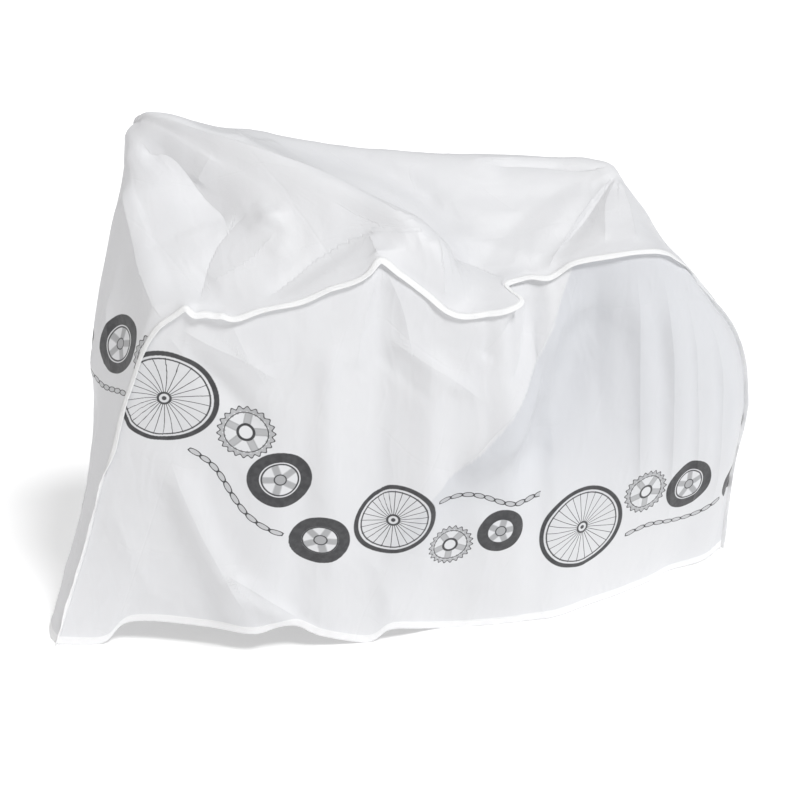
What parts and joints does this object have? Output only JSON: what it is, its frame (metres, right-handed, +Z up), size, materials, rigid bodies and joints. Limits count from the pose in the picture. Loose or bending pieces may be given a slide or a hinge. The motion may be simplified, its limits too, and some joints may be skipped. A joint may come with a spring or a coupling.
{
  "type": "bicycle cover",
  "caption": "Draped white cloth cover for a parked bicycle: side panels joined to a centre strip by bound seams, open at the floor.",
  "frame": {"origin": "centre of the cover's bounding box in plan, at the floor under its hem", "axes": "+X from the bicycle's front to its rear, +Y from the near side to the far side, +Z up"},
  "size_m": [1.5869, 0.6261, 1.0784],
  "materials": {
    "cloth": "thin white plastic-coated cloth, slightly see-through, soft satin sheen, with a grey line print in a band",
    "binding": "folded white tape sewn over the seams, matt"
  },
  "bodies": {
    "root": {"near_side_panel": "cloth", "far_side_panel": "cloth", "centre_strip": "cloth", "near_seam_binding": "binding", "far_seam_binding": "binding"}
  },
  "joints": []
}
